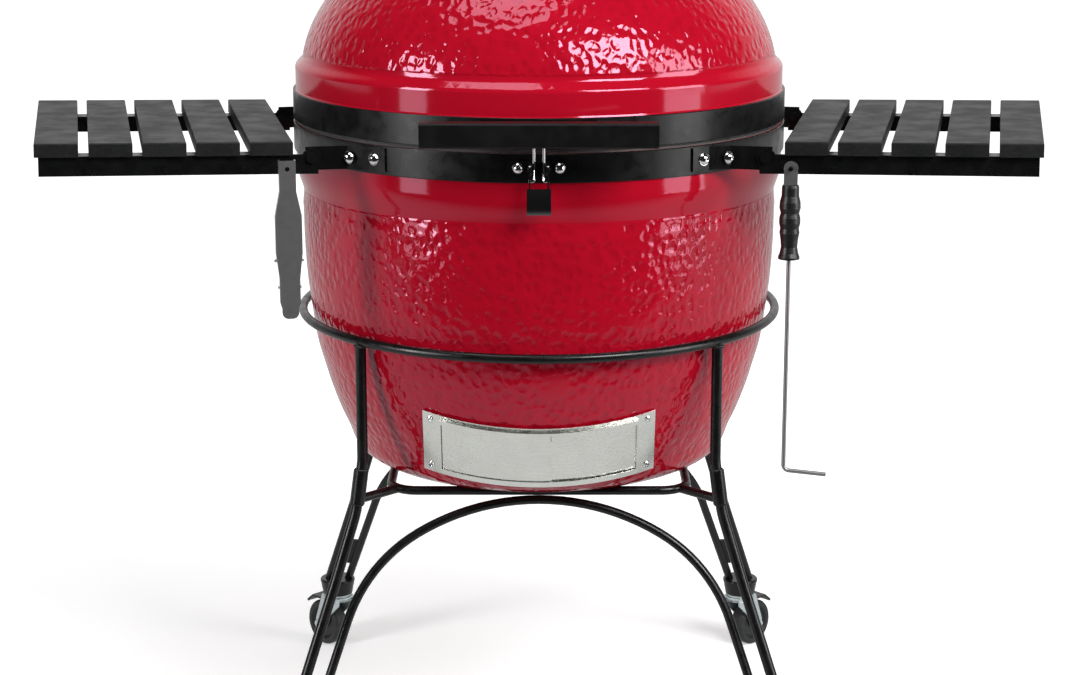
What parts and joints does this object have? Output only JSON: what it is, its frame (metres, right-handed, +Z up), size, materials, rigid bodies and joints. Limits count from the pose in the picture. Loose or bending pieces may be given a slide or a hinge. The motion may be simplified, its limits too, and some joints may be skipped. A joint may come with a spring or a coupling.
{
  "type": "kamado ceramic grill",
  "caption": "Ceramic kamado grill with hinged dome, folding slatted side shelves, draft door, top vent and rod stand on casters.",
  "frame": {"origin": "on the ground under the vertical axis of the ceramic pot", "axes": "+Z up, -Y towards the front (handle and draft door side), +X to the right seen from the front"},
  "size_m": [1.4688, 0.821, 1.2898],
  "materials": {
    "glaze": "gloss",
    "band_black": "satin",
    "stand_black": "satin",
    "gasket_felt": "matte",
    "steel_sheet": "satin",
    "chrome": "polished",
    "zinc": "satin",
    "wheel_black": "satin",
    "pedal_black": "matte",
    "slat_black": "matte",
    "grip_black": "satin",
    "tool_steel": "satin",
    "firebrick": "matte",
    "cast_black": "matte",
    "grate_steel": "satin",
    "dial_face": "matte",
    "lens": "gloss"
  },
  "bodies": {
    "grill_base": {"stand_ring": "stand_black", "stand_uprights": "stand_black", "stand_frame": "stand_black", "stand_sleeves": "stand_black", "stand_legs": "stand_black", "stand_arches": "stand_black", "stand_cups": "stand_black", "caster_stems": "zinc", "pot_base": "glaze", "lower_band": "band_black", "lower_gasket": "gasket_felt", "shelf_straps": "band_black", "latch_plate": "band_black", "draft_frame": "steel_sheet", "fixings": "chrome", "firebox": "firebrick", "fire_ring": "firebrick", "charcoal_grate": "cast_black", "grate_rack": "grate_steel", "deflectors": "firebrick", "cooking_grates": "grate_steel", "hinge_bracket": "band_black", "hinge_springs": "tool_steel"},
    "dome": {"dome_shell": "glaze", "upper_band": "band_black", "dome_gasket": "gasket_felt", "hinge_arms": "band_black", "handle_bar": "band_black", "handle_mounts": "band_black", "handle_bolts": "chrome", "vent_collar": "cast_black", "thermometer_case": "zinc", "thermometer_dial": "dial_face", "thermometer_lens": "lens"},
    "vent_lid": {"vent_cap": "cast_black"},
    "vent_wheel": {"vent_daisy": "cast_black"},
    "latch_lever": {"latch_lever": "band_black"},
    "latch_loop": {"latch_loop": "chrome"},
    "draft_door": {"draft_door": "steel_sheet"},
    "draft_panel": {"draft_panel": "steel_sheet"},
    "left_shelf": {"left_rails": "band_black", "left_slats": "slat_black"},
    "right_shelf": {"right_rails": "band_black", "right_slats": "slat_black"},
    "gripper": {"gripper_body": "chrome"},
    "gripper_handle": {"gripper_lever": "chrome"},
    "ash_tool": {"ash_tool_grip": "grip_black", "ash_tool_rod": "tool_steel"},
    "caster_rr": {"caster_fork_rr": "zinc"},
    "wheel_rr": {"caster_wheel_rr": "wheel_black"},
    "brake_rr": {"caster_brake_rr": "pedal_black"},
    "caster_rl": {"caster_fork_rl": "zinc"},
    "wheel_rl": {"caster_wheel_rl": "wheel_black"},
    "brake_rl": {"caster_brake_rl": "pedal_black"},
    "caster_fl": {"caster_fork_fl": "zinc"},
    "wheel_fl": {"caster_wheel_fl": "wheel_black"},
    "brake_fl": {"caster_brake_fl": "pedal_black"},
    "caster_fr": {"caster_fork_fr": "zinc"},
    "wheel_fr": {"caster_wheel_fr": "wheel_black"},
    "brake_fr": {"caster_brake_fr": "pedal_black"}
  },
  "joints": [
    {"name": "dome_hinge", "type": "hinge", "parent": "grill_base", "child": "dome", "pos_m": [0, 0.392, 0.93], "axis": [-1, 0, 0], "range_deg": [0, 70], "stiffness_Nm_per_rad": 80, "springref_deg": 70},
    {"name": "vent_lid_swing", "type": "hinge", "parent": "dome", "child": "vent_lid", "pos_m": [0, 0.07, 1.248], "axis": [0, 0, 1], "range_deg": [0, 100]},
    {"name": "vent_wheel_turn", "type": "hinge", "parent": "vent_lid", "child": "vent_wheel", "pos_m": [0, 0, 1.255], "axis": [0, 0, 1], "range_deg": [0, 36]},
    {"name": "latch_lift", "type": "hinge", "parent": "grill_base", "child": "latch_lever", "pos_m": [0, -0.366, 0.92], "axis": [-1, 0, 0], "range_deg": [0, 100]},
    {"name": "latch_loop_swing", "type": "hinge", "parent": "latch_lever", "child": "latch_loop", "pos_m": [0, -0.366, 0.905], "axis": [-1, 0, 0], "range_deg": [-100, 0]},
    {"name": "draft_door_slide", "type": "hinge", "parent": "grill_base", "child": "draft_door", "pos_m": [0, -0.00181, 0.63037], "axis": [0, -0.3714, 0.9285], "range_deg": [0, 20]},
    {"name": "draft_panel_slide", "type": "hinge", "parent": "grill_base", "child": "draft_panel", "pos_m": [0, -0.00181, 0.63037], "axis": [0, -0.3714, 0.9285], "range_deg": [-23.5, 0]},
    {"name": "right_shelf_fold", "type": "hinge", "parent": "grill_base", "child": "right_shelf", "pos_m": [0.34113, -0.06878, 0.922], "axis": [0.1977, 0.9803, 0], "range_deg": [0, 90]},
    {"name": "left_shelf_fold", "type": "hinge", "parent": "grill_base", "child": "left_shelf", "pos_m": [-0.34113, -0.06878, 0.922], "axis": [0.1977, -0.9803, 0], "range_deg": [0, 90]},
    {"name": "ash_tool_swing", "type": "hinge", "parent": "right_shelf", "child": "ash_tool", "pos_m": [0.3289, -0.30758, 0.91273], "axis": [0.1977, 0.9803, 0], "range_deg": [-90, 0]},
    {"name": "gripper_swing", "type": "hinge", "parent": "left_shelf", "child": "gripper", "pos_m": [-0.3289, -0.30758, 0.91273], "axis": [0.1977, -0.9803, 0], "range_deg": [-90, 0]},
    {"name": "gripper_squeeze", "type": "hinge", "parent": "gripper", "child": "gripper_handle", "pos_m": [-0.3289, -0.30758, 0.79073], "axis": [0.9803, 0.1977, 0], "range_deg": [0, 5], "stiffness_Nm_per_rad": 0.2, "springref_deg": -20.05},
    {"name": "swivel_rr", "type": "hinge", "parent": "grill_base", "child": "caster_rr", "pos_m": [0.33504, 0.33504, 0.09], "axis": [0, 0, 1], "continuous": true},
    {"name": "roll_rr", "type": "hinge", "parent": "caster_rr", "child": "wheel_rr", "pos_m": [0.35484, 0.35484, 0.038], "axis": [-0.7071, 0.7071, 0], "continuous": true},
    {"name": "brake_press_rr", "type": "hinge", "parent": "caster_rr", "child": "brake_rr", "pos_m": [0.34069, 0.34069, 0.076], "axis": [-0.7071, 0.7071, 0], "range_deg": [0, 7]},
    {"name": "swivel_rl", "type": "hinge", "parent": "grill_base", "child": "caster_rl", "pos_m": [-0.33504, 0.33504, 0.09], "axis": [0, 0, 1], "continuous": true},
    {"name": "roll_rl", "type": "hinge", "parent": "caster_rl", "child": "wheel_rl", "pos_m": [-0.35484, 0.35484, 0.038], "axis": [-0.7071, -0.7071, 0], "continuous": true},
    {"name": "brake_press_rl", "type": "hinge", "parent": "caster_rl", "child": "brake_rl", "pos_m": [-0.34069, 0.34069, 0.076], "axis": [-0.7071, -0.7071, 0], "range_deg": [0, 7]},
    {"name": "swivel_fl", "type": "hinge", "parent": "grill_base", "child": "caster_fl", "pos_m": [-0.33504, -0.33504, 0.09], "axis": [0, 0, 1], "continuous": true},
    {"name": "roll_fl", "type": "hinge", "parent": "caster_fl", "child": "wheel_fl", "pos_m": [-0.35484, -0.35484, 0.038], "axis": [0.7071, -0.7071, 0], "continuous": true},
    {"name": "brake_press_fl", "type": "hinge", "parent": "caster_fl", "child": "brake_fl", "pos_m": [-0.34069, -0.34069, 0.076], "axis": [0.7071, -0.7071, 0], "range_deg": [0, 7]},
    {"name": "swivel_fr", "type": "hinge", "parent": "grill_base", "child": "caster_fr", "pos_m": [0.33504, -0.33504, 0.09], "axis": [0, 0, 1], "continuous": true},
    {"name": "roll_fr", "type": "hinge", "parent": "caster_fr", "child": "wheel_fr", "pos_m": [0.35484, -0.35484, 0.038], "axis": [0.7071, 0.7071, 0], "continuous": true},
    {"name": "brake_press_fr", "type": "hinge", "parent": "caster_fr", "child": "brake_fr", "pos_m": [0.34069, -0.34069, 0.076], "axis": [0.7071, 0.7071, 0], "range_deg": [0, 7]}
  ],
  "couplings": [
    {"joint": "latch_loop_swing", "follows": "latch_lift", "ratio": -1},
    {"joint": "ash_tool_swing", "follows": "right_shelf_fold", "ratio": -1},
    {"joint": "gripper_swing", "follows": "left_shelf_fold", "ratio": -1}
  ]
}
